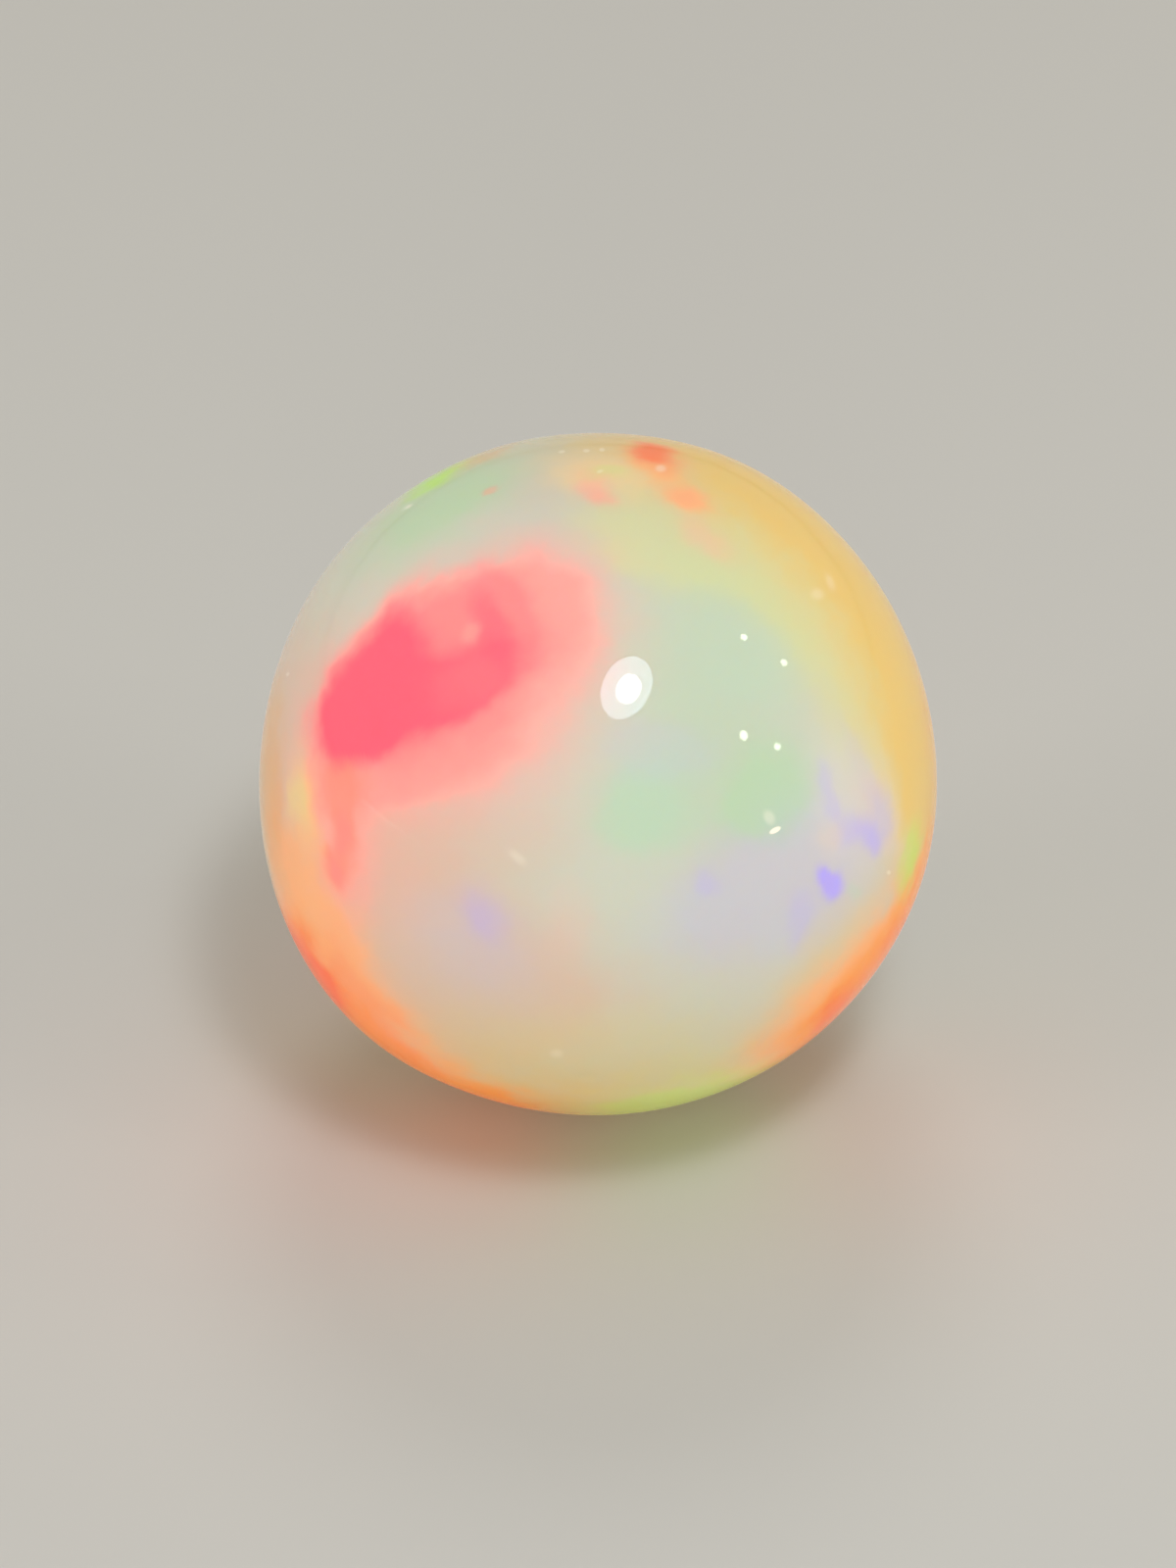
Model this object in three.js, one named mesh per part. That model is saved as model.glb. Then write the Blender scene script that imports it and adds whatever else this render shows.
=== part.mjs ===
// A hand-cut opal ball, polished all over and resting on a surface.
// Millimetres, +Z up. The origin is on that surface, in the middle of the foot. The ball's best
// face looks towards -Y and up.

import * as THREE from 'three';

// Driving dimensions
const ballDiameter = 12;    // the ball's mean size
const footRadius = 1.4;     // the small flat that stands in for the point of contact
const faceTilt = 35;        // degrees that the best face looks up from the level
const sidesAround = 64;     // facets round the upright axis
const ringsUp = 32;         // rings from the foot's cone up to the top

// The form left by hand cutting: soft swells and flats of a few hundredths of a millimetre.
// clock is where the middle of each one lies round the best face, in degrees anticlockwise from
// the right. lean is how far it lies in front of the ball's outline as that face shows it: 90 is
// the middle of the face and -90 the middle of the back. proud is in millimetres, and spread in
// degrees.
const swells = [
  { name: 'lower left fullness', clock: 225, lean: 4, proud: 0.11, spread: 18 },
  { name: 'upper right fullness', clock: 65, lean: 3, proud: 0.06, spread: 13 },
  { name: 'upper left fullness', clock: 105, lean: -2, proud: 0.03, spread: 9 },
  { name: 'right side fullness', clock: 342, lean: 4, proud: 0.025, spread: 12 },
  { name: 'left side flat', clock: 172, lean: 4, proud: -0.09, spread: 18 },
  { name: 'underside flat', clock: 273, lean: 3, proud: -0.07, spread: 14 },
  { name: 'right side flat', clock: 14, lean: 0, proud: -0.03, spread: 14 },
  { name: 'back fullness', clock: 300, lean: -62, proud: 0.05, spread: 24 },
  { name: 'back flat', clock: 120, lean: -55, proud: -0.06, spread: 22 },
  { name: 'face flat', clock: 250, lean: 55, proud: -0.03, spread: 20 }
];

// Worked out from those
const ballRadius = ballDiameter / 2;
const coneTop = 2 * Math.atan(footRadius / ballRadius);   // where a cone off the foot's rim is tangent
const roundBelow = -Math.cos(coneTop);                    // no swell reaches lower than that ring
const fullSwellAbove = -0.6;                              // and none is held back above this height

const tilt = THREE.MathUtils.degToRad(faceTilt);
const faceRight = new THREE.Vector3(1, 0, 0);
const faceUp = new THREE.Vector3(0, Math.sin(tilt), Math.cos(tilt));
const faceOut = new THREE.Vector3(0, -Math.cos(tilt), Math.sin(tilt));

// The outward direction of a place that is given by its clock and its lean
function directionOf({ clock, lean }) {
  const round = THREE.MathUtils.degToRad(clock);
  const forward = THREE.MathUtils.degToRad(lean);
  return new THREE.Vector3()
    .addScaledVector(faceRight, Math.cos(forward) * Math.cos(round))
    .addScaledVector(faceUp, Math.cos(forward) * Math.sin(round))
    .addScaledVector(faceOut, Math.sin(forward));
}

// How far the surface stands proud of a true ball in one direction, in millimetres
function proudIn(direction) {
  let proud = 0;
  for (const swell of swells) {
    const width = THREE.MathUtils.degToRad(swell.spread);
    const apart = 1 - direction.dot(directionOf(swell));
    proud += swell.proud * Math.exp(-apart / width ** 2);
  }
  return proud * THREE.MathUtils.smoothstep(direction.z, roundBelow, fullSwellAbove);
}

// Half the ball's section: the flat foot, the cone off its rim, then the arc over the top
function ballSection() {
  const section = new THREE.Path();
  section.moveTo(0, 0);
  section.lineTo(footRadius, 0);
  section.absarc(0, ballRadius, ballRadius, coneTop - Math.PI / 2, Math.PI / 2, false);
  return section.getPoints(ringsUp / 2);
}

function makeOpalBall() {
  const geometry = new THREE.LatheGeometry(ballSection(), sidesAround);
  geometry.rotateX(Math.PI / 2);
  const centre = new THREE.Vector3(0, 0, ballRadius);
  const places = geometry.getAttribute('position');
  const place = new THREE.Vector3();
  for (let i = 0; i < places.count; i += 1) {
    place.fromBufferAttribute(places, i);
    const outward = place.clone().sub(centre).normalize();
    place.addScaledVector(outward, proudIn(outward));
    places.setXYZ(i, place.x, place.y, place.z);
  }
  geometry.computeVertexNormals();
  const polish = new THREE.MeshStandardMaterial({ color: 0xdcd6c4, roughness: 0.12, metalness: 0 });
  const ball = new THREE.Mesh(geometry, polish);
  ball.name = 'opal_sphere';
  return ball;
}

const opal = new THREE.Group();
opal.add(makeOpalBall());

export default opal;
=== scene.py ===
"""A hand-cut ball of milky precious opal, and the plain stage that it is seen on.

The ball's pattern is laid out on its best face. Places on it are in radii of the ball: across to
the right, up, and out towards the viewer, from the middle of the ball.
"""

import math
from collections import namedtuple

import bpy
from bpy.props import FloatProperty, FloatVectorProperty, IntProperty, PointerProperty
from bpy.types import Operator, Panel, PropertyGroup
from mathutils import Matrix, Vector


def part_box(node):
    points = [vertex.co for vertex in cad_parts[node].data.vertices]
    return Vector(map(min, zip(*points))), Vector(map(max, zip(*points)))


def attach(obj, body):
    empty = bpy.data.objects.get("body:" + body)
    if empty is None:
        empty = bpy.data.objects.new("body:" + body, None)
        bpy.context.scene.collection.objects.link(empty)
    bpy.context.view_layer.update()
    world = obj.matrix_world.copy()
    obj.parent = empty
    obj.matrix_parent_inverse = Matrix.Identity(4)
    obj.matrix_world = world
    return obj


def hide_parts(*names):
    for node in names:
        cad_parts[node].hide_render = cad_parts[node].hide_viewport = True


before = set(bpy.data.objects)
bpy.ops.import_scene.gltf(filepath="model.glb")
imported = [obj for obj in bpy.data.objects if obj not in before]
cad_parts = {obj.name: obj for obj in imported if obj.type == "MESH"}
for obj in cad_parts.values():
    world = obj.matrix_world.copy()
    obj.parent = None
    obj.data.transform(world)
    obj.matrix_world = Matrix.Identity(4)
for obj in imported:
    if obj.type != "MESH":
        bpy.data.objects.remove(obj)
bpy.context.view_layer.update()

bl_info = {
    "name": "Opal Ball",
    "version": (1, 0, 0),
    "blender": (4, 5, 0),
    "location": "3D View > Sidebar > Opal",
    "description": "Makes a polished ball of precious opal and the stage that it is seen on",
    "category": "Add Mesh",
}

MM = 0.001
COLOUR_LAYER = "opal colour"

# The ball as the part's solid has it, standing on the ground over the origin
BALL_LOW, BALL_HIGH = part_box("opal_sphere")
BALL_DIAMETER = round(BALL_HIGH.z - BALL_LOW.z, 5)
BALL_RADIUS = BALL_DIAMETER / 2
BALL_CENTRE = Vector((0, 0, BALL_LOW.z + BALL_RADIUS))
FOOT_RADIUS = 1.4 * MM
FACE_TILT = math.radians(35)

# Points along an edge of the net that the ball is made from, and the height of its lap marks
NET_DETAIL = 120
LAP_HEIGHT = 0.0015 * MM

# How high a direction points, from -1 to 1, where the swells show in full again above the foot
FULL_SWELL_ABOVE = -0.6

# The photograph's frame, and where the ball lies in it, in pixels
FRAME_WIDTH_PX, FRAME_HEIGHT_PX = 1200, 1600
BALL_X_PX, BALL_Y_PX, BALL_RADIUS_PX = 608.3, 790.8, 348.4

# The camera: its lens and sensor in millimetres, and how far from the ball's centre it stands for
# the ball to look as large as in the photograph
LENS, SENSOR = 150, 36
FOCAL_PX = LENS / SENSOR * max(FRAME_WIDTH_PX, FRAME_HEIGHT_PX)
CAMERA_DISTANCE = BALL_RADIUS / math.sin(math.atan(BALL_RADIUS_PX / FOCAL_PX))


def srgb(red, green, blue):
    """The linear colour that Blender uses, from one as a screen shows it, from 0 to 255."""
    def linear(value):
        value /= 255
        return value / 12.92 if value <= 0.04045 else ((value + 0.055) / 1.055) ** 2.4
    return linear(red), linear(green), linear(blue)


def on_face(x_px, y_px):
    """The place on the ball, in radii, that the photograph shows at a pixel.

    For a pixel beside the ball it is the place next to the outline where the ray passes closest.
    """
    across, up = (x_px - BALL_X_PX) / FOCAL_PX, (BALL_Y_PX - y_px) / FOCAL_PX
    ray = Vector((across, up, -1)).normalized()
    camera = Vector((0, 0, CAMERA_DISTANCE / BALL_RADIUS))
    closest = -ray.dot(camera)
    miss = (camera + closest * ray).length
    return camera + (closest - math.sqrt(max(0, 1 - miss ** 2))) * ray


def face_to_world(across, up, out):
    """A direction given from the best face, turned into the part's own axes."""
    sin_tilt, cos_tilt = math.sin(FACE_TILT), math.cos(FACE_TILT)
    return Vector((across, up * sin_tilt - out * cos_tilt, up * cos_tilt + out * sin_tilt))


def direction_of(clock, lean):
    """The direction, seen from the best face, that a clock and a lean in degrees give."""
    clock, lean = math.radians(clock), math.radians(lean)
    flat = math.cos(lean)
    return flat * math.cos(clock), flat * math.sin(clock), math.sin(lean)


# The form left by hand cutting, as the part's solid has it. clock is where the middle of a swell
# lies round the best face, in degrees anticlockwise from the right, and lean is how far it lies in
# front of the outline. proud is in millimetres and spread in degrees.
Swell = namedtuple("Swell", "name clock lean proud spread")
SWELLS = (
    Swell("lower left fullness", 225, 4, 0.11, 18),
    Swell("upper right fullness", 65, 3, 0.06, 13),
    Swell("upper left fullness", 105, -2, 0.03, 9),
    Swell("right side fullness", 342, 4, 0.025, 12),
    Swell("left side flat", 172, 4, -0.09, 18),
    Swell("underside flat", 273, 3, -0.07, 14),
    Swell("right side flat", 14, 0, -0.03, 14),
    Swell("back fullness", 300, -62, 0.05, 24),
    Swell("back flat", 120, -55, -0.06, 22),
    Swell("face flat", 250, 55, -0.03, 20),
)

# Pits that the polish left, too small for the solid
PITS = (
    Swell("pit below the middle", 228, 69, -0.012, 1.3),
    Swell("pit at the upper right", 38.5, 30, -0.014, 1.5),
    Swell("pit at the bottom", 268, 30, -0.012, 1.2),
    Swell("pit at the right", 342, 57, -0.016, 1.2),
    Swell("pit behind on the left", 150, -35, -0.014, 1.4),
    Swell("pit behind at the top", 80, -50, -0.012, 1.3),
    Swell("pit low on the back", 320, -30, -0.016, 1.6),
)

# Colours of the body and of the flashes. Tan, honey, amber, peach, flame and apricot also paint
# the warm glow that light passing through the body gives the rims and the top, and pale also
# paints glints and reflections
PALETTE = {
    "milk": ("Milky body, a little green", (203, 204, 187)),
    "cream": ("Cream body, a little pink", (220, 182, 160)),
    "sage": ("Grey green of the top left", (182, 212, 168)),
    "tan": ("Tan, and the painted glow of the underside", (225, 178, 114)),
    "honey": ("Honey, and the painted glow of the right side", (229, 197, 119)),
    "straw": ("Straw yellow inside the honey", (217, 216, 146)),
    "mint": ("Mint green", (178, 214, 180)),
    "lime": ("Lime green", (186, 232, 76)),
    "pink": ("Hot pink", (255, 106, 126)),
    "rose": ("Rose pink", (255, 142, 141)),
    "blush": ("Blush pink", (255, 168, 157)),
    "coral": ("Coral", (255, 149, 128)),
    "flame": ("Flame orange, and the painted glow of the rims", (255, 84, 12)),
    "peach": ("Peach", (252, 181, 122)),
    "apricot": ("Pale apricot", (244, 208, 150)),
    "amber": ("Amber", (255, 158, 40)),
    "violet": ("Violet", (185, 169, 238)),
    "lilac": ("Lilac", (196, 194, 214)),
    "pale": ("Pale spot and painted glint", (248, 240, 222)),
}

# A lobe is an egg-shaped zone that colours the ball's surface where it passes through it: its
# middle on the surface, its half length, half width and half depth in radii, and how far it is
# turned anticlockwise on the best face, in degrees.
Lobe = namedtuple("Lobe", "middle long wide turn deep")

# A flash is one patch of colour made of lobes that run into each other. strength is how much of
# the colour shows, and edge how soft its outline is, from 0 for crisp to 1 for a mere wash.
Flash = namedtuple("Flash", "name tone strength edge lobes")

# How deep a lobe reaches into the ball, in radii: one of the face, of the rim, of the sides and
# back, and of a speck
FACE_DEPTH, RIM_DEPTH, SIDE_DEPTH, SPECK_DEPTH = 0.6, 0.4, 0.3, 0.15


def seen(x_px, y_px, long_px, wide_px, turn=0, deep=FACE_DEPTH):
    """A lobe where and as large as the photograph shows it."""
    middle = on_face(x_px, y_px)
    return Lobe(tuple(middle), long_px / BALL_RADIUS_PX, wide_px / BALL_RADIUS_PX, turn, deep)


def rim(x_px, y_px, long_px, wide_px, turn):
    """A lobe at the outline that reaches less far round the side."""
    return seen(x_px, y_px, long_px, wide_px, turn, RIM_DEPTH)


def speck(x_px, y_px, long_px, wide_px, turn=0):
    """A lobe too shallow to come out again on the far side of the ball."""
    return seen(x_px, y_px, long_px, wide_px, turn, SPECK_DEPTH)


def unseen(clock, lean, long, wide, turn=0, deep=SIDE_DEPTH):
    """A lobe that the photograph doesn't show, placed as a swell is."""
    return Lobe(direction_of(clock, lean), long, wide, turn, deep)


FLASHES = (
    # Broad washes of the body, and the warm glow at its rims and top, painted where light passes
    # through the body
    Flash("green of the right half", "mint", 0.4, 1.0,
          [seen(725, 660, 120, 90, 60), seen(762, 806, 62, 42, 0), seen(655, 826, 40, 30, 0)]),
    Flash("straw of the upper right", "straw", 0.5, 1.0,
          [seen(735, 548, 130, 44, -32), seen(858, 668, 130, 40, 112),
           seen(652, 560, 50, 26, -20)]),
    Flash("grey green of the top left", "sage", 0.65, 1.0, [seen(458, 510, 90, 36, 32)]),
    Flash("cream of the lower left", "cream", 0.65, 1.0,
          [seen(405, 925, 150, 84, -60), seen(496, 1015, 120, 60, 0)]),
    Flash("cream of the left side", "cream", 0.55, 1.0, [seen(290, 740, 120, 50, 88)]),
    Flash("lilac of the lower left", "lilac", 0.3, 1.0, [seen(480, 965, 60, 40, -30)]),
    Flash("lilac of the lower right", "lilac", 0.5, 1.0,
          [seen(818, 878, 92, 60, 60), seen(750, 917, 74, 38, 20)]),
    Flash("lilac under the honey", "lilac", 0.2, 1.0, [seen(882, 825, 56, 24, 108)]),
    # Painted glow of warm light under the ball
    Flash("painted tan glow of the underside", "tan", 1.0, 1.0, [seen(510, 1145, 210, 84, 0)]),
    Flash("straw of the underside", "straw", 0.8, 1.0, [seen(720, 1135, 140, 56, 14)]),
    Flash("straw of the lower body", "straw", 0.28, 1.0, [seen(590, 1082, 190, 56, 0)]),
    # Painted glow of warm light at the left rim, the right side, the top rim and the top
    Flash("painted tan glow of the left rim", "tan", 0.7, 1.0, [seen(268, 795, 140, 21, 94, 0.25)]),
    Flash("painted honey glow of the right side", "honey", 1.0, 1.0,
          [seen(946, 690, 130, 92, 104), seen(890, 565, 140, 92, 128),
           seen(770, 475, 120, 72, 152), seen(956, 783, 88, 54, 85)]),
    Flash("painted amber glow in the right rim", "amber", 0.25, 1.0, [seen(966, 700, 150, 26, 100)]),
    Flash("painted honey glow of the top rim", "honey", 0.6, 1.0, [seen(655, 448, 86, 26, 176)]),
    Flash("painted warm light at the top", "apricot", 0.6, 1.0, [seen(622, 482, 50, 22, -4)]),

    # Patches of the body
    Flash("mint patch left of the middle", "mint", 0.22, 0.9,
          [seen(655, 818, 38, 32, 20), seen(634, 838, 22, 16, 0)]),
    Flash("green patch right of the middle", "sage", 0.5, 0.9,
          [seen(788, 798, 38, 36, 70), seen(770, 828, 30, 18, 20)]),
    Flash("grey patch in the middle", "lilac", 0.2, 1.0,
          [seen(684, 776, 40, 22, 10), seen(648, 756, 30, 20, 0)]),
    Flash("pink tint of the lower body", "blush", 0.12, 1.0, [seen(575, 936, 24, 30, 0)]),
    Flash("pink tint at the top", "blush", 0.26, 1.0, [seen(722, 546, 30, 12, -40)]),

    # Warm light that passes through the body and comes out at the lower rim, painted into the
    # colour as a glow, with lime and straw flecks among it
    Flash("painted amber glow of the left rim", "amber", 0.4, 1.0, [rim(288, 882, 60, 22, 102)]),
    Flash("painted peach glow of the lower left rim", "peach", 0.85, 1.0,
          [rim(328, 948, 60, 34, 114), rim(380, 1040, 110, 40, 135)]),
    Flash("painted amber glow of the lower left rim", "amber", 0.85, 1.0,
          [rim(306, 966, 48, 24, 116), rim(350, 1030, 70, 30, 130), rim(456, 1106, 90, 28, 154)]),
    Flash("painted orange glow in the lower left rim", "flame", 0.24, 1.0,
          [seen(346, 997, 48, 24, 123, 0.3), seen(398, 1052, 60, 18, 138, 0.3)]),
    Flash("painted flame glow of the lower left rim", "flame", 0.7, 1.0,
          [seen(310, 971, 40, 18, 118, 0.3), seen(333, 1002, 30, 15, 127, 0.3)]),
    Flash("painted amber glow at the bottom", "amber", 0.8, 0.9, [rim(494, 1117, 44, 18, 160)]),
    Flash("peach spot of the lower left", "peach", 0.5, 0.9, [rim(331, 967, 16, 9, 115)]),
    Flash("painted honey glow of the lower right", "honey", 0.4, 1.0, [rim(852, 992, 84, 38, 50)]),
    Flash("painted peach glow of the lower right rim", "peach", 0.8, 1.0,
          [rim(902, 968, 86, 32, 59), rim(834, 1043, 80, 34, 42)]),
    Flash("painted amber glow of the lower right rim", "amber", 0.9, 1.0,
          [rim(938, 908, 60, 24, 74), rim(898, 984, 60, 28, 56), rim(842, 1048, 60, 26, 40)]),
    Flash("painted flame glow of the lower right rim", "flame", 0.28, 1.0,
          [seen(915, 958, 38, 12, 62, 0.28), seen(878, 1015, 58, 15, 50, 0.28)]),
    Flash("painted flame glow spot of the lower right", "flame", 0.5, 1.0, [rim(854, 1030, 26, 9, 47)]),
    Flash("lime of the underside", "lime", 0.34, 1.0,
          [rim(735, 1116, 60, 22, 18), rim(670, 1132, 60, 16, 6)]),
    Flash("straw of the right rim", "straw", 0.3, 1.0, [rim(932, 872, 34, 13, 82)]),
    Flash("lime of the right rim", "lime", 0.5, 1.0, [rim(931, 875, 28, 9, 80)]),

    # The back and the sides, in keeping with the face
    Flash("green behind", "mint", 0.5, 1.0,
          [unseen(140, -48, 0.5, 0.3, 30), unseen(20, -60, 0.45, 0.3, -20)]),
    Flash("cream behind", "cream", 0.5, 1.0,
          [unseen(118, -66, 0.5, 0.35, 10), unseen(290, -50, 0.4, 0.3, 70)]),
    Flash("honey behind", "honey", 0.6, 1.0, [unseen(44, -38, 0.36, 0.2, 130)]),
    Flash("lilac behind", "lilac", 0.6, 1.0,
          [unseen(200, -70, 0.35, 0.25, 0), unseen(330, -45, 0.25, 0.25, 60)]),
    Flash("blush halo behind", "blush", 0.8, 1.0,
          [unseen(75, -50, 0.3, 0.18, -30), unseen(95, -62, 0.22, 0.16, 10)]),
    Flash("rose flash behind", "rose", 0.85, 0.8,
          [unseen(74, -50, 0.24, 0.12, -30), unseen(92, -60, 0.15, 0.12, 20)]),
    Flash("pink heart behind", "pink", 0.8, 0.9,
          [unseen(76, -51, 0.14, 0.06, -35), unseen(88, -58, 0.07, 0.06, 0)]),
    Flash("coral flash low on the back", "coral", 0.75, 0.9,
          [unseen(215, -55, 0.22, 0.08, 15), unseen(205, -48, 0.12, 0.1, 60)]),
    Flash("lime flash behind", "lime", 0.5, 1.0,
          [unseen(158, -44, 0.2, 0.09, 70), unseen(150, -55, 0.12, 0.08, 0)]),
    Flash("amber low on the back", "amber", 0.6, 1.0,
          [unseen(300, -42, 0.3, 0.1, 40), unseen(235, -40, 0.2, 0.08, 140)]),
    Flash("straw patch of the right side", "straw", 0.7, 1.0,
          [unseen(4, -28, 0.25, 0.15, 95, 0.16)]),
    Flash("green patch of the right side", "mint", 0.7, 1.0,
          [unseen(347, -22, 0.16, 0.15, 78, 0.14)]),
    Flash("coral streak of the right side", "coral", 0.8, 0.9,
          [unseen(22, -19, 0.2, 0.12, 112, 0.06), unseen(30, -25, 0.1, 0.12, 120, 0.08)]),
    Flash("lime spark of the right side", "lime", 0.6, 0.9,
          [unseen(42, -20, 0.09, 0.1, 130, 0.05)]),
    Flash("honey patch of the right side", "honey", 0.8, 1.0,
          [unseen(318, -13, 0.24, 0.12, 48, 0.08)]),
    Flash("peach patch of the right side", "peach", 0.8, 1.0,
          [unseen(316, -24, 0.2, 0.15, 46, 0.1)]),
    Flash("grey green patch of the right side", "sage", 0.7, 1.0,
          [unseen(331, -31, 0.16, 0.14, 60, 0.12)]),
    Flash("straw patch of the left side", "straw", 0.7, 1.0,
          [unseen(198, -22, 0.2, 0.15, 110, 0.12)]),
    Flash("green patch of the left side", "sage", 0.8, 1.0,
          [unseen(176, -17, 0.18, 0.15, 90, 0.1)]),
    Flash("rose streak of the left side", "rose", 0.75, 0.9,
          [unseen(190, -32, 0.2, 0.12, 100, 0.06), unseen(182, -38, 0.08, 0.1, 90, 0.09)]),
    Flash("honey patch of the left side", "honey", 0.8, 1.0,
          [unseen(217, -13, 0.22, 0.12, 127, 0.08), unseen(222, -24, 0.2, 0.15, 132, 0.1)]),
    Flash("cream patch of the left side", "cream", 0.85, 1.0,
          [unseen(182, -13, 0.26, 0.14, 92, 0.09)]),
    Flash("lilac patch of the left side", "lilac", 0.6, 1.0,
          [unseen(160, -28, 0.12, 0.15, 70, 0.12)]),
    Flash("violet spots of the left side", "violet", 0.6, 0.9,
          [unseen(168, -22, 0.05, 0.1, 80, 0.04), unseen(203, -33, 0.06, 0.1, 110, 0.04)]),
    Flash("violet spots behind", "violet", 0.6, 0.9,
          [unseen(0, -50, 0.07, 0.05), unseen(350, -57, 0.05, 0.04, 60),
           unseen(30, -74, 0.08, 0.05, 20), unseen(120, -40, 0.06, 0.04, 110)]),

    # The halo of the great pink flash
    Flash("cream below the halo", "cream", 0.28, 1.0, [seen(492, 862, 88, 46, 12)]),
    Flash("blush glow below the halo", "blush", 0.05, 1.0,
          [seen(480, 850, 90, 44, 15), seen(558, 792, 36, 26, 40)]),
    Flash("blush glow round the halo", "blush", 0.12, 1.0,
          [seen(528, 556, 36, 20, 0), seen(602, 575, 26, 18, 0), seen(400, 900, 58, 32, 104)]),
    Flash("blush halo", "blush", 0.95, 1.0,
          [seen(454, 709, 138, 90, 26), seen(554, 614, 34, 34, 0), seen(398, 778, 60, 28, 8),
           seen(383, 655, 42, 16, 52), seen(453, 601, 18, 8, 22)]),
    Flash("blush edge", "blush", 0.8, 0.8,
          [seen(445, 681, 118, 61, 28), seen(541, 614, 29, 26, 10)]),
    Flash("rose halo", "rose", 0.85, 0.8,
          [seen(437, 711, 103, 60, 26), seen(507, 619, 24, 31, 20), seen(452, 638, 46, 26, 20),
           seen(358, 712, 26, 38, -20)]),

    # The coral column under the halo
    Flash("blush round the column", "blush", 0.6, 1.0,
          [seen(352, 866, 66, 26, 98), seen(352, 800, 44, 32, 90)]),
    Flash("coral column", "coral", 0.75, 1.0,
          [seen(349, 790, 30, 24, 90), seen(354, 842, 34, 12, 92), seen(341, 887, 20, 13, 105)]),
    Flash("rose spots in the column", "rose", 0.4, 1.0,
          [seen(352, 850, 18, 8, 88), seen(341, 888, 14, 8, 115)]),
    Flash("coral spot of the column", "coral", 0.6, 0.9, [seen(331, 869, 9, 6, 110)]),
    Flash("peach beside the column", "peach", 0.6, 1.0,
          [seen(314, 832, 44, 12, 97), seen(302, 882, 32, 14, 100)]),
    Flash("apricot beside the column", "apricot", 0.5, 1.0, [seen(307, 812, 40, 14, 98)]),
    Flash("straw beside the column", "straw", 0.35, 1.0, [seen(304, 814, 24, 9, 98)]),

    # The heart of the great pink flash
    Flash("hot pink heart", "pink", 1.0, 0.7,
          [seen(428, 711, 80, 30, 22), seen(388, 672, 52, 24, 58), seen(354, 727, 27, 31, 0),
           seen(368, 748, 22, 18, 10), seen(480, 697, 36, 20, 25), seen(466, 718, 24, 10, 20)]),
    Flash("paler right half of the heart", "rose", 0.4, 1.0, [seen(490, 692, 48, 34, 25)]),
    Flash("right arm of the heart", "pink", 0.6, 0.8, [seen(498, 646, 42, 15, 112)]),
    Flash("pale notch in the heart", "blush", 0.6, 0.9, [seen(475, 647, 11, 8, 100)]),

    # The top rim
    Flash("lime of the top left rim", "lime", 0.85, 1.0, [rim(449, 484, 34, 9, 33)]),
    Flash("tan of the top left rim", "tan", 0.5, 1.0, [rim(496, 462, 34, 9, 24)]),
    Flash("peach at the top", "peach", 0.7, 1.0,
          [seen(675, 472, 27, 16, -26), seen(706, 511, 21, 11, -18)]),
    Flash("peach trail at the top", "peach", 0.2, 1.0, [seen(683, 492, 18, 10, -50)]),
    Flash("blush spot at the top", "blush", 0.4, 1.0, [seen(611, 497, 17, 14, -60)]),
    Flash("flame heart of the top", "flame", 0.6, 1.0, [seen(672, 463, 21, 9, -22)]),
    Flash("coral spots of the top", "coral", 0.25, 1.0,
          [seen(615, 507, 12, 9, -20), seen(706, 510, 20, 9, -16)]),
    Flash("straw glint at the top", "straw", 0.6, 1.0, [seen(627, 482, 19, 8, 0)]),
    Flash("coral speck at the top left", "coral", 0.35, 0.8, [seen(503, 501, 8, 4, 10)]),

    # Violet and lilac spots
    Flash("pale light in the lilac", "pale", 0.14, 1.0,
          [seen(866, 812, 62, 34, 105), seen(903, 834, 28, 12, 110)]),
    Flash("violet spot", "violet", 0.9, 0.85,
          [seen(845, 902, 14, 12, 90), seen(838, 889, 9, 7, 130)]),
    Flash("pinkish lilac beside the honey", "blush", 0.2, 1.0, [seen(896, 828, 30, 12, 112)]),
    Flash("lilac beside the second spot", "violet", 0.32, 1.0, [seen(870, 846, 17, 14, 0)]),
    Flash("second violet spot", "violet", 0.6, 0.9, [seen(888, 849, 17, 10, 112)]),
    Flash("lilac streaks", "violet", 0.22, 1.0,
          [seen(844, 795, 20, 9, 100), seen(853, 824, 12, 7, 100), seen(813, 937, 26, 12, 84),
           seen(719, 892, 12, 10, 140)]),
    Flash("lilac streak by the honey", "violet", 0.1, 1.0, [seen(876, 778, 46, 8, 115)]),
    Flash("violet spot of the lower left", "violet", 0.32, 1.0, [seen(490, 935, 25, 18, 115)]),
    Flash("lilac beside the honey", "lilac", 0.6, 1.0, [seen(897, 829, 28, 13, 108)]),
    Flash("apricot dot in the lilac", "apricot", 0.16, 1.0, [seen(848, 851, 14, 11, 90)]),
    Flash("mint dot in the lilac", "mint", 0.2, 0.9, [seen(871, 904, 8, 8, 0)]),
)

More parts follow.
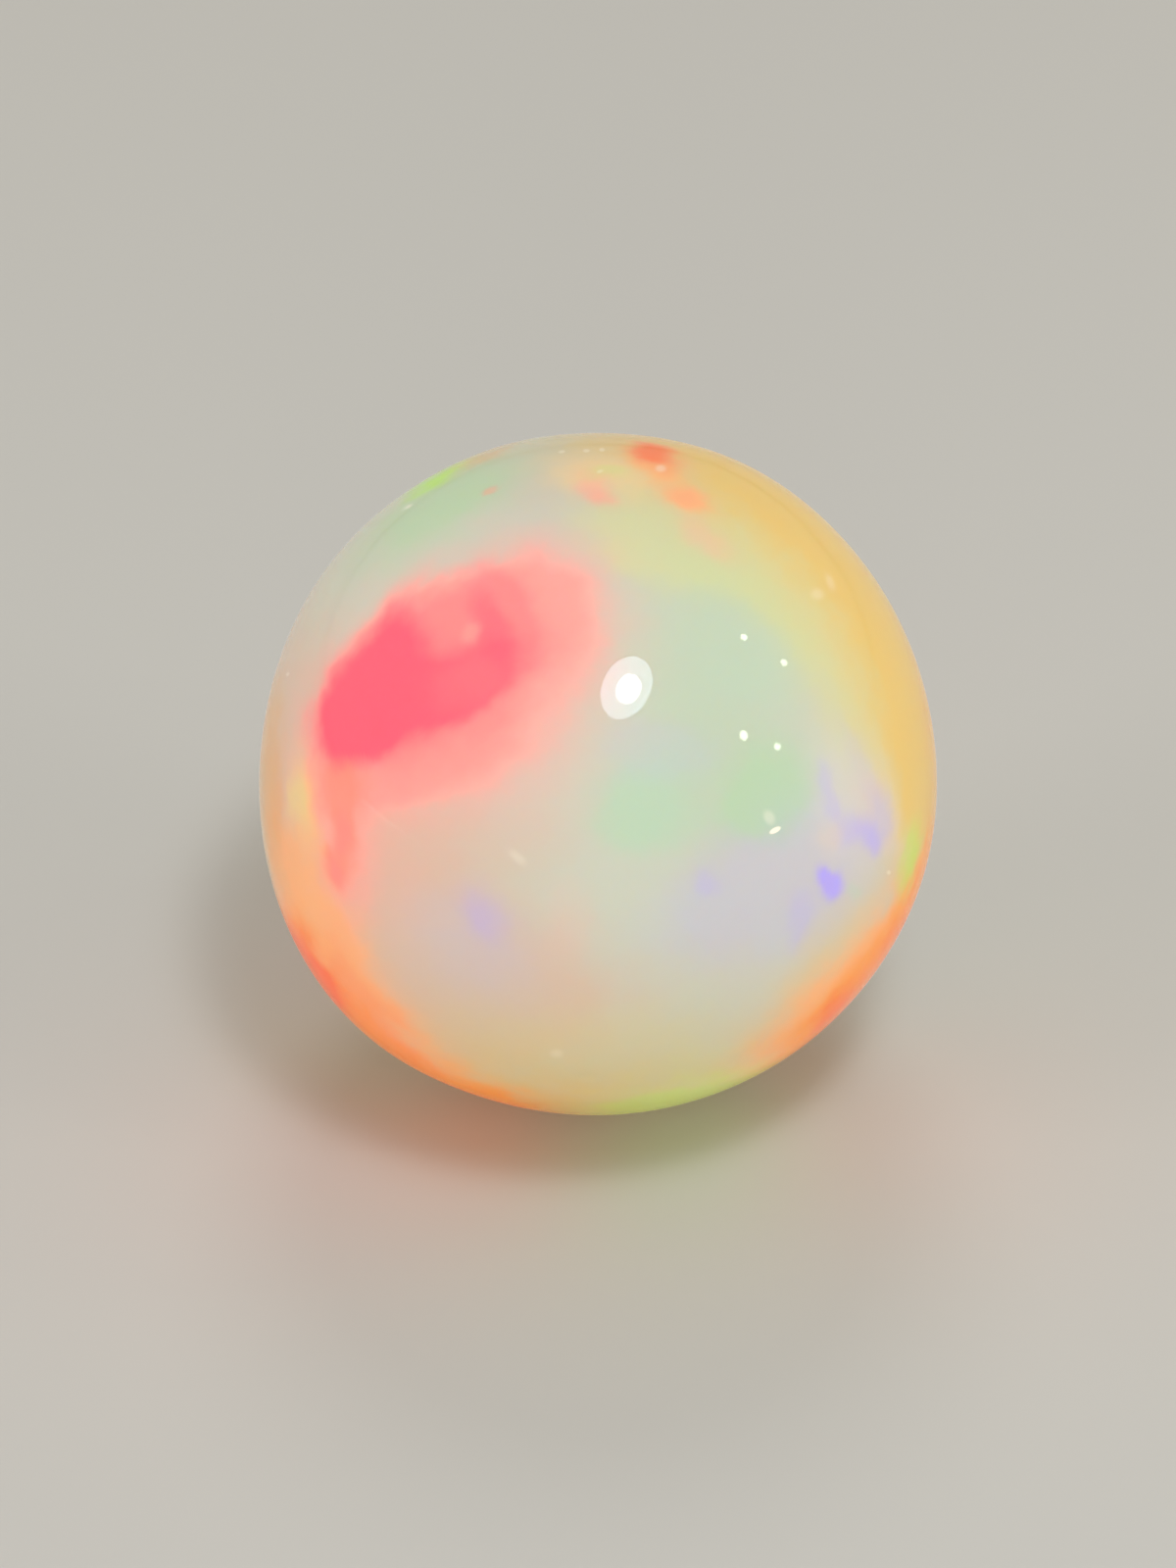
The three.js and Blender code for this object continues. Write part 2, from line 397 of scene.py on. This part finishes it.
# Small marks on the polish: painted glints and reflections of small bright points, and a few pale
# spots
MARKS = (
    # A painted glint on the pit at the right, and a fuzzy pale patch above it
    Flash("glint on the chip", "pale", 1.0, 0.3, [speck(791, 847, 6, 2.6, 28)]),
    Flash("pale patch above the chip", "pale", 0.3, 0.7, [speck(785, 834, 7, 5, 120)]),
    # Painted glints: small bright points reflected in the polish
    Flash("painted glints of bright points", "pale", 0.3, 0.8,
          [speck(417, 517, 4, 1.6, 30), speck(573, 461, 3, 1.6, 10), speck(598, 460, 3, 1.8, 0),
           speck(614, 459, 2.5, 2, 0), speck(612, 481, 3, 1.6, 20), speck(674, 478, 5, 3.5, 0),
           speck(293, 688, 2, 1.6, 60), speck(907, 890, 2, 2, 0)]),
    # Faint whitish spots, and painted reflections of small bright points at the top left and upper
    # right
    Flash("whitish spots and painted reflections", "pale", 0.2, 1.0,
          [speck(528, 875, 9, 4, -40), speck(568, 1075, 6, 4, 0), speck(847, 594, 8, 4, 110),
           speck(834, 606, 6, 5, 0), speck(414, 518, 5, 2, 30)]),
)

# A cloudy unevenness: how many ups and downs it has to a unit of length, how many finer layers lie
# over them, and how strong those are
Cloud = namedtuple("Cloud", "scale layers roughness", defaults=(3.0, 0.5))
LAP_CLOUD = Cloud(5.0, 2.0)
BODY_CLOUD = Cloud(1.3, 4.0, 0.45)
EDGE_CLOUD = Cloud(9.0, 4.0, 0.6)
SMUDGE_CLOUD = Cloud(9.0, 5.0)
POLISH_CLOUD = Cloud(90.0)

# What moves the flashes' places about, coarse and then fine, and how far it does, in radii
DRIFTS = ((Cloud(1.6), 0.10), (Cloud(8.0), 0.08))

# What a lobe's share is multiplied by where its outline is drawn in furthest, and how much that
# grows to where it is let out furthest
RAGGED_LEAST, RAGGED_SPAN = 0.7, 0.6

# The body turns from milk to cream between these two values of its cloud, and this much at most
MILK_BELOW, CREAM_ABOVE, MOST_CREAM = 0.35, 0.65, 0.25

# The polish: its roughness where it is cleanest and what smudges add to it, then the strength and
# the height of the finest unevenness in it
CLEAN_ROUGHNESS, SMUDGE_ROUGHNESS = 0.01, 0.04
POLISH_STRENGTH, POLISH_HEIGHT = 0.03, 0.004 * MM

# How strongly opal bends light, and how far red, green and blue light soak into it, against red
OPAL_IOR = 1.43
SOAK_BY_COLOUR = (1.0, 0.62, 0.38)


class OpalBallSettings(PropertyGroup):
    """The ball's sizes, how light goes into it, and its painted glow."""
    diameter: FloatProperty(
        name="Diameter", description="The ball's mean size",
        default=BALL_DIAMETER, min=MM, unit="LENGTH")
    foot_radius: FloatProperty(
        name="Foot Radius", description="Radius of the foot that the swells stay clear of",
        default=FOOT_RADIUS, min=0, unit="LENGTH")
    out_of_round: FloatProperty(
        name="Out of Round", description="How much of the hand-cut form shows",
        default=1, min=0, max=2, subtype="FACTOR")
    lap_marks: FloatProperty(
        name="Lap Marks", description="Height of the faint unevenness that the lap left",
        default=LAP_HEIGHT, min=0, unit="LENGTH")
    detail: IntProperty(
        name="Detail", description="Points along each of the twelve edges of the net of squares",
        default=NET_DETAIL, min=8, max=128)
    softness: FloatProperty(
        name="Softness", description="How much light soaks into the milky body",
        default=0.6, min=0, max=1, subtype="FACTOR")
    soak_depth: FloatProperty(
        name="Soak Depth", description="How far red light soaks into the milky body",
        default=1.2 * MM, min=0, unit="LENGTH")
    # Painted glow: the stronger colours give off light of their own, standing in for light that
    # passes through the milky body to its shaded side
    glow: FloatProperty(
        name="Glow", description="How much light the stronger colours give of their own",
        default=0.2, min=0, max=1, subtype="FACTOR")


class OpalStageSettings(PropertyGroup):
    """The floor, the lights and the camera."""
    floor_colour: FloatVectorProperty(
        name="Floor", description="Colour of the pale floor",
        default=srgb(206, 202, 193), size=3, min=0, max=1, subtype="COLOR")
    surround: FloatProperty(
        name="Surround", description="Strength of the even light from all round",
        default=0.44, min=0)


def colour_setting(label, shown):
    """The setting for one of the opal's colours."""
    return FloatVectorProperty(
        name=label, description=f"{label}, one of the opal's colours",
        default=srgb(*shown), size=3, min=0, max=1, subtype="COLOR")


class OpalColours(PropertyGroup):
    """The colours of the body and of the flashes."""
    __annotations__ = {tone: colour_setting(*words) for tone, words in PALETTE.items()}


def add_node(tree, kind, inputs=None, **settings):
    """Adds a node. An input that is given a socket is joined to it, and any other is set."""
    node = tree.nodes.new(kind)
    for name, value in settings.items():
        setattr(node, name, value)
    for name, value in (inputs or {}).items():
        if isinstance(value, bpy.types.NodeSocket):
            tree.links.new(value, node.inputs[name])
        else:
            node.inputs[name].default_value = value
    return node


def add_input(tree, name, kind, default):
    """Adds a named input to a node group."""
    socket = tree.interface.new_socket(name=name, in_out="INPUT", socket_type=kind)
    socket.default_value = default


# The sockets of the Mix node that carry colours, by number, because their names are shared
MIX_FACTOR, MIX_UNDER, MIX_OVER, MIX_RESULT = 0, 6, 7, 2


class Steps:
    """Short names for the arithmetic nodes of one tree, geometry or shader."""

    def __init__(self, tree):
        self.tree = tree

    def number(self, operation, *values):
        """A sum on numbers."""
        inputs = dict(enumerate(values))
        return add_node(self.tree, "ShaderNodeMath", inputs, operation=operation).outputs[0]

    def vector(self, operation, *values):
        """A sum on vectors, or on colours taken as vectors."""
        inputs = dict(enumerate(values))
        node = add_node(self.tree, "ShaderNodeVectorMath", inputs, operation=operation)
        return node.outputs["Value" if operation in ("DOT_PRODUCT", "LENGTH") else "Vector"]

    def scaled(self, vector, factor):
        """A vector made longer or shorter."""
        node = add_node(self.tree, "ShaderNodeVectorMath", {0: vector, "Scale": factor},
                        operation="SCALE")
        return node.outputs["Vector"]

    def eased(self, value, low, high):
        """0 below low and 1 above high, with a smooth change between them."""
        node = add_node(self.tree, "ShaderNodeMapRange",
                        {"Value": value, "From Min": low, "From Max": high},
                        interpolation_type="SMOOTHSTEP")
        return node.outputs["Result"]

    def mixed(self, factor, under, over):
        """The colour under, or as much of the colour over it as factor says."""
        node = add_node(self.tree, "ShaderNodeMix",
                        {MIX_FACTOR: factor, MIX_UNDER: under, MIX_OVER: over},
                        data_type="RGBA")
        return node.outputs[MIX_RESULT]

    def noise(self, place, cloud):
        """A cloudy value round a half, and three such values as a colour."""
        node = add_node(self.tree, "ShaderNodeTexNoise",
                        {"Vector": place, "Scale": cloud.scale, "Detail": cloud.layers,
                         "Roughness": cloud.roughness})
        return node.outputs[0], node.outputs["Color"]

    def lobed(self, place, lobe, others):
        """The share so far and one lobe's: 1 in the lobe's middle and a half on its outline."""
        apart = self.vector("SUBTRACT", place, lobe.middle)
        turned = add_node(self.tree, "ShaderNodeVectorRotate",
                          {"Vector": apart, "Angle": -math.radians(lobe.turn)},
                          rotation_type="Z_AXIS").outputs["Vector"]
        own = self.vector("DIVIDE", turned, (lobe.long, lobe.wide, lobe.deep))
        away = self.vector("DOT_PRODUCT", own, own)
        return self.number("ADD", self.number("POWER", 0.5, away), others)

    def flashed(self, place, ragged, colour, flash, tone):
        """The colour so far, with one more flash over it. ragged lets its outline in and out."""
        share = 0.0
        for lobe in flash.lobes:
            share = self.lobed(place, lobe, share)
        share = self.number("MULTIPLY", share, ragged)
        shown = self.eased(share, 0.5 - flash.edge / 2, 0.5 + flash.edge / 2)
        painted = self.mixed(self.number("MULTIPLY", shown, flash.strength), colour, tone)
        painted.node.label = flash.name
        return painted


def ball_tree(opal, tones):
    """The node tree that cuts and colours the ball, which starts as an even net of squares."""
    tree = bpy.data.node_groups.new("opal ball", "GeometryNodeTree")
    tree.interface.new_socket(name="Ball", in_out="OUTPUT", socket_type="NodeSocketGeometry")
    add_input(tree, "Diameter", "NodeSocketFloat", BALL_DIAMETER)
    add_input(tree, "Foot Radius", "NodeSocketFloat", FOOT_RADIUS)
    add_input(tree, "Face Tilt", "NodeSocketFloat", FACE_TILT)
    add_input(tree, "Out of Round", "NodeSocketFloat", 1.0)
    add_input(tree, "Lap Marks", "NodeSocketFloat", LAP_HEIGHT)
    add_input(tree, "Detail", "NodeSocketInt", NET_DETAIL)
    given = tree.nodes.new("NodeGroupInput").outputs
    step = Steps(tree)

    # The net is a cube from -1 to 1. The tangent makes its squares even on the ball.
    net = add_node(tree, "GeometryNodeMeshCube",
                   {"Size": (2, 2, 2), "Vertices X": given["Detail"],
                    "Vertices Y": given["Detail"], "Vertices Z": given["Detail"]})
    place = add_node(tree, "GeometryNodeInputPosition").outputs["Position"]
    evened = step.vector("TANGENT", step.scaled(place, math.pi / 4))
    outward = step.vector("NORMALIZE", evened)
    facing = add_node(tree, "ShaderNodeVectorRotate",
                      {"Vector": outward,
                       "Angle": step.number("SUBTRACT", given["Face Tilt"], math.pi / 2)},
                      rotation_type="X_AXIS").outputs["Vector"]

    radius = step.number("MULTIPLY", given["Diameter"], 0.5)
    reach = step.number("ADD", radius, cut_height(step, outward, facing, given))
    centre = add_node(tree, "ShaderNodeCombineXYZ", {"Z": radius}).outputs["Vector"]
    cut_place = step.vector("ADD", step.scaled(outward, reach), centre)

    # The colours come first, while the points still lie on the net that gives their directions
    coloured = add_node(tree, "GeometryNodeStoreNamedAttribute",
                        {"Geometry": net.outputs["Mesh"], "Name": COLOUR_LAYER,
                         "Value": opal_pattern(step, facing, tones)},
                        data_type="FLOAT_COLOR", domain="POINT")
    shaped = add_node(tree, "GeometryNodeSetPosition",
                      {"Geometry": coloured.outputs[0], "Position": cut_place})
    smooth = add_node(tree, "GeometryNodeSetShadeSmooth", {"Geometry": shaped.outputs[0]})
    real = add_node(tree, "GeometryNodeRealizeInstances", {"Geometry": smooth.outputs[0]})
    finished = add_node(tree, "GeometryNodeSetMaterial",
                        {"Geometry": real.outputs[0], "Material": opal})
    output = tree.nodes.new("NodeGroupOutput")
    tree.links.new(finished.outputs[0], output.inputs["Ball"])
    return tree


def cut_height(step, outward, facing, given):
    """How far the surface stands proud of a true ball: its swells, its pits and its lap marks."""
    proud = 0.0
    for swell in SWELLS:
        proud = swelled(step, facing, swell, proud)
    clear_of_foot = swell_fade(step, outward, given["Foot Radius"], given["Diameter"])
    proud = step.number("MULTIPLY", proud, clear_of_foot)
    for pit in PITS:
        proud = swelled(step, facing, pit, proud)
    proud = step.number("MULTIPLY", proud, given["Out of Round"])
    uneven = step.number("SUBTRACT", step.noise(outward, LAP_CLOUD)[0], 0.5)
    return step.number("MULTIPLY_ADD", uneven, given["Lap Marks"], proud)


def swelled(step, facing, swell, proud):
    """The height so far, with one more swell or pit on it."""
    narrow = 1 / math.radians(swell.spread) ** 2
    aligned = step.vector("DOT_PRODUCT", facing, direction_of(swell.clock, swell.lean))
    fall = step.number("EXPONENT", step.number("MULTIPLY_ADD", aligned, narrow, -narrow))
    cut = step.number("MULTIPLY_ADD", fall, swell.proud * MM, proud)
    cut.node.label = swell.name
    return cut


def swell_fade(step, outward, foot_radius, diameter):
    """0 round the foot, where the ball is true, and 1 from a little higher up."""
    radius = step.number("MULTIPLY", diameter, 0.5)
    half_cone = step.number("ARCTANGENT", step.number("DIVIDE", foot_radius, radius))
    cone_top = step.number("COSINE", step.number("MULTIPLY", half_cone, 2.0))
    round_below = step.number("MULTIPLY", cone_top, -1.0)
    height = add_node(step.tree, "ShaderNodeSeparateXYZ", {"Vector": outward}).outputs["Z"]
    return step.eased(height, round_below, FULL_SWELL_ABOVE)


def opal_pattern(step, place, tones):
    """The body's clouds and the flashes over them, as one colour."""
    drifting = place
    for cloud, reach in DRIFTS:
        drift = step.noise(place, cloud)[1]
        centred = step.vector("SUBTRACT", drift, (0.5, 0.5, 0.5))
        drifting = step.vector("ADD", drifting, step.scaled(centred, reach))
    cloudy = step.noise(drifting, BODY_CLOUD)[0]
    creamy = step.number("MULTIPLY", step.eased(cloudy, MILK_BELOW, CREAM_ABOVE), MOST_CREAM)
    colour = step.mixed(creamy, tones["milk"], tones["cream"])
    wavering = step.noise(drifting, EDGE_CLOUD)[0]
    ragged = step.number("MULTIPLY_ADD", wavering, RAGGED_SPAN, RAGGED_LEAST)
    for flash in FLASHES:
        colour = step.flashed(drifting, ragged, colour, flash, tones[flash.tone])
    return colour


def opal_material(ball, tones):
    """Milky opal: the colours that the mesh carries, painted glints and other small marks over
    them, a painted glow from its own colours, and a hand polish.
    """
    material = bpy.data.materials.new("milky precious opal")
    material.use_nodes = True
    tree = material.node_tree
    tree.nodes.clear()
    step = Steps(tree)

    # The place in radii, with the best face looking along +Z
    in_metres = add_node(tree, "ShaderNodeTexCoord").outputs["Object"]
    radius = ball.diameter / 2
    place = add_node(
        tree, "ShaderNodeMapping",
        {"Vector": in_metres, "Scale": (1 / radius,) * 3,
         "Rotation": (FACE_TILT - math.pi / 2, 0, 0),
         "Location": (0, -math.cos(FACE_TILT), -math.sin(FACE_TILT))},
        vector_type="POINT").outputs["Vector"]

    carried = add_node(tree, "ShaderNodeAttribute", attribute_name=COLOUR_LAYER)
    colour = carried.outputs["Color"]
    # Painted glints and reflections, and a few pale spots, go over the carried colours
    for mark in MARKS:
        colour = step.flashed(place, 1.0, colour, mark, tones[mark.tone])

    smudges = step.noise(place, SMUDGE_CLOUD)[0]
    roughness = step.number("MULTIPLY_ADD", smudges, SMUDGE_ROUGHNESS, CLEAN_ROUGHNESS)
    polish = add_node(tree, "ShaderNodeBump",
                      {"Strength": POLISH_STRENGTH, "Distance": POLISH_HEIGHT,
                       "Height": step.noise(place, POLISH_CLOUD)[0]})
    # The emission is a painted glow: the colours give off light though the stone is no lamp
    shader = add_node(
        tree, "ShaderNodeBsdfPrincipled",
        {"Base Color": colour, "Roughness": roughness, "Normal": polish.outputs["Normal"],
         "IOR": OPAL_IOR, "Subsurface Weight": ball.softness,
         "Subsurface Radius": SOAK_BY_COLOUR, "Subsurface Scale": ball.soak_depth,
         "Emission Color": step.vector("MULTIPLY", colour, colour),
         "Emission Strength": ball.glow},
        subsurface_method="RANDOM_WALK")
    output = add_node(tree, "ShaderNodeOutputMaterial")
    tree.links.new(shader.outputs["BSDF"], output.inputs["Surface"])
    return material


def cut_mesh(context, tree, values):
    """The plain mesh that the ball's tree makes when its named inputs have these values."""
    net = bpy.data.objects.new("opal ball net", bpy.data.meshes.new("opal ball net"))
    context.scene.collection.objects.link(net)
    cut = net.modifiers.new("cut and polish", "NODES")
    cut.node_group = tree
    for socket in tree.interface.items_tree:
        if socket.in_out == "INPUT":
            cut[socket.identifier] = values[socket.name]
    cut_net = net.evaluated_get(context.evaluated_depsgraph_get())
    mesh = bpy.data.meshes.new_from_object(cut_net)
    if not mesh.polygons:
        raise RuntimeError("the ball's tree made no faces")
    bpy.data.objects.remove(net)
    return mesh


class OPAL_OT_make_ball(Operator):
    """Make the opal ball in place of its plain solid"""
    bl_idname = "opal.make_ball"
    bl_label = "Make Ball"

    def execute(self, context):
        ball, colours = context.scene.opal_ball, context.scene.opal_colours
        tones = {tone: (*getattr(colours, tone), 1) for tone in PALETTE}
        tree = ball_tree(opal_material(ball, tones), tones)
        mesh = cut_mesh(context, tree, {
            "Diameter": ball.diameter,
            "Foot Radius": ball.foot_radius,
            "Face Tilt": FACE_TILT,
            "Out of Round": ball.out_of_round,
            "Lap Marks": ball.lap_marks,
            "Detail": ball.detail,
        })
        mesh.name = "opal_ball"
        piece = bpy.data.objects.new("opal_ball", mesh)
        context.scene.collection.objects.link(piece)
        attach(piece, "root")
        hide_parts("opal_sphere")
        return {"FINISHED"}


# A lamp that the ball mirrors: where its reflection lies in the photograph and how wide and tall
# it is there, in pixels, how far it is turned anticlockwise, in degrees, its radiance and colour
Lamp = namedtuple("Lamp", "name x_px y_px wide_px tall_px turn radiance colour")
NEUTRAL, COOL, GREENISH = (1, 1, 1), (0.64, 0.79, 1), (0.9, 1, 0.75)
LAMPS = (
    Lamp("lamp core", 641, 703.5, 24.5, 30.5, -18, 20, NEUTRAL),
    Lamp("lamp shade", 639, 702, 49, 68, -25, 8.8, COOL),
    Lamp("point above on the right", 759, 650, 7, 6.5, -47, 18, GREENISH),
    Lamp("point at the right", 800, 676, 7, 6, -59, 16, GREENISH),
    Lamp("point level with the middle", 758.5, 750.5, 10, 8.5, -75, 20, GREENISH),
    Lamp("point further right", 793, 762, 7, 6.5, -81, 20, GREENISH),
)
LAMP_DISTANCE = 150 * MM

# A soft light that shows on the ball's body but not in its polish. bearing is in degrees
# anticlockwise from the viewer's right, as seen from above, height in degrees above level, and
# size in metres across.
Softbox = namedtuple("Softbox", "name bearing height size radiance")
SOFTBOXES = (
    Softbox("left softbox", 200, 10, 0.1, 10),
    Softbox("right softbox", 340, 10, 0.1, 8),
    Softbox("front softbox", 270, 2, 0.1, 8.5),
    Softbox("top softbox", 90, 50, 0.12, 4),
)
SOFTBOX_DISTANCE = 300 * MM

# The even light from all round is a little warm
SURROUND_COLOUR = (1, 0.965, 0.91, 1)

# The floor: half its breadth in metres, its finish, and how fine, strong and high its grain is
FLOOR_HALF = 1.5
FLOOR_ROUGHNESS, FLOOR_SHEEN = 0.9, 0.2
GRAIN_CLOUD = Cloud(900.0, 4.0)
GRAIN_STRENGTH, GRAIN_HEIGHT = 0.15, 0.02 * MM

# The nearest and the farthest thing that the camera shows
NEAREST, FARTHEST = 5 * MM, 5


def add_light(context, name, shape, size, size_y, radiance):
    """An area light whose power gives it the same brightness whatever its size."""
    light = bpy.data.lights.new(name, "AREA")
    light.shape, light.size, light.size_y = shape, size, size_y
    oval_area = math.pi / 4 * size * size_y
    light.energy = radiance * math.pi * oval_area
    item = bpy.data.objects.new(name, light)
    context.scene.collection.objects.link(item)
    item.visible_camera = False
    return item


def make_lamp(context, lamp):
    """A small lamp placed so that its reflection falls where the photograph shows one."""
    mirror = on_face(lamp.x_px, lamp.y_px)
    view = (Vector((0, 0, CAMERA_DISTANCE / BALL_RADIUS)) - mirror).normalized()
    facing = view.dot(mirror)
    towards = 2 * facing * mirror - view
    away_from_view = (view.dot(towards) * towards - view).normalized()
    sideways = away_from_view.cross(towards)

    # A round ball draws a reflection out round its rim and flattens it across
    reach = 2 * LAMP_DISTANCE / BALL_RADIUS_PX
    item = add_light(context, lamp.name, "ELLIPSE", reach * lamp.wide_px * facing,
                     reach * lamp.tall_px / facing, lamp.radiance)
    item.data.color = lamp.colour
    turned = math.radians(lamp.turn + 90) - math.atan2(mirror.y, mirror.x)
    tall = math.cos(turned) * away_from_view - math.sin(turned) * sideways
    axes = [face_to_world(*axis) for axis in (tall.cross(towards), tall, towards)]
    item.matrix_world = Matrix(axes).transposed().to_4x4()
    item.location = BALL_CENTRE + BALL_RADIUS * face_to_world(*mirror) + LAMP_DISTANCE * axes[2]


def make_softbox(context, softbox):
    """A round soft light aimed at the ball."""
    item = add_light(context, softbox.name, "DISK", softbox.size, softbox.size, softbox.radiance)
    bearing, height = math.radians(softbox.bearing), math.radians(softbox.height)
    level = math.cos(height)
    towards = Vector((level * math.cos(bearing), level * math.sin(bearing), math.sin(height)))
    item.location = BALL_CENTRE + SOFTBOX_DISTANCE * towards
    item.rotation_euler = towards.to_track_quat("Z", "Y").to_euler()
    item.visible_glossy = False


def make_floor(context, colour):
    """A broad pale floor with a faint matt grain."""
    mesh = bpy.data.meshes.new("floor")
    corners = [(-FLOOR_HALF, -FLOOR_HALF, 0), (FLOOR_HALF, -FLOOR_HALF, 0),
               (FLOOR_HALF, FLOOR_HALF, 0), (-FLOOR_HALF, FLOOR_HALF, 0)]
    mesh.from_pydata(corners, [], [(0, 1, 2, 3)])
    mesh.materials.append(floor_material(colour))
    floor = bpy.data.objects.new("floor", mesh)
    context.scene.collection.objects.link(floor)


def floor_material(colour):
    """A pale matt finish with a fine grain."""
    material = bpy.data.materials.new("pale matt floor")
    material.use_nodes = True
    tree = material.node_tree
    shader = tree.nodes["Principled BSDF"]
    place = add_node(tree, "ShaderNodeTexCoord").outputs["Object"]
    grain = Steps(tree).noise(place, GRAIN_CLOUD)[0]
    bump = add_node(tree, "ShaderNodeBump",
                    {"Strength": GRAIN_STRENGTH, "Distance": GRAIN_HEIGHT, "Height": grain})
    shader.inputs["Base Color"].default_value = (*colour, 1)
    shader.inputs["Roughness"].default_value = FLOOR_ROUGHNESS
    shader.inputs["Specular IOR Level"].default_value = FLOOR_SHEEN
    tree.links.new(bump.outputs["Normal"], shader.inputs["Normal"])
    return material


def make_surround(context, strength):
    """The even light from all round."""
    world = bpy.data.worlds.new("surround")
    world.use_nodes = True
    back = world.node_tree.nodes["Background"]
    back.inputs["Color"].default_value = SURROUND_COLOUR
    back.inputs["Strength"].default_value = strength
    context.scene.world = world


def make_camera(context):
    """A camera at the photograph's angle, with the ball where the photograph shows it."""
    camera = bpy.data.cameras.new("camera")
    camera.lens, camera.sensor_width = LENS, SENSOR
    camera.clip_start, camera.clip_end = NEAREST, FARTHEST
    item = bpy.data.objects.new("camera", camera)
    context.scene.collection.objects.link(item)
    pixel = CAMERA_DISTANCE / FOCAL_PX
    across = (BALL_X_PX - FRAME_WIDTH_PX / 2) * pixel
    up = (FRAME_HEIGHT_PX / 2 - BALL_Y_PX) * pixel
    target = BALL_CENTRE - face_to_world(across, up, 0)
    item.location = BALL_CENTRE + CAMERA_DISTANCE * face_to_world(0, 0, 1)
    item.rotation_euler = (item.location - target).to_track_quat("Z", "Y").to_euler()
    context.scene.camera = item


class OPAL_OT_make_stage(Operator):
    """Make the floor, the lights and the camera"""
    bl_idname = "opal.make_stage"
    bl_label = "Make Stage"

    def execute(self, context):
        stage = context.scene.opal_stage
        make_floor(context, stage.floor_colour)
        for lamp in LAMPS:
            make_lamp(context, lamp)
        for softbox in SOFTBOXES:
            make_softbox(context, softbox)
        make_surround(context, stage.surround)
        make_camera(context)
        context.scene.view_settings.view_transform = "Standard"
        return {"FINISHED"}


class OPAL_PT_panel(Panel):
    """The ball's and the stage's settings, with the operators that use them"""
    bl_idname = "OPAL_PT_panel"
    bl_label = "Opal Ball"
    bl_space_type = "VIEW_3D"
    bl_region_type = "UI"
    bl_category = "Opal"

    def draw(self, context):
        layout, scene = self.layout, context.scene
        for settings in (scene.opal_ball, scene.opal_colours, scene.opal_stage):
            box = layout.box()
            for name in settings.__annotations__:
                box.prop(settings, name)
        for operator in (OPAL_OT_make_ball, OPAL_OT_make_stage):
            layout.operator(operator.bl_idname)


SETTINGS = {
    "opal_ball": OpalBallSettings,
    "opal_colours": OpalColours,
    "opal_stage": OpalStageSettings,
}
CLASSES = (*SETTINGS.values(), OPAL_OT_make_ball, OPAL_OT_make_stage, OPAL_PT_panel)


def register():
    """Puts the classes, and the scene's settings, in place."""
    for cls in CLASSES:
        bpy.utils.register_class(cls)
    for name, group in SETTINGS.items():
        setattr(bpy.types.Scene, name, PointerProperty(type=group))


def unregister():
    """Takes them out again."""
    for name in SETTINGS:
        delattr(bpy.types.Scene, name)
    for cls in reversed(CLASSES):
        bpy.utils.unregister_class(cls)


def main():
    """Makes the stage and the ball."""
    register()
    bpy.ops.opal.make_stage()
    bpy.ops.opal.make_ball()


if __name__ == "__main__":
    main()
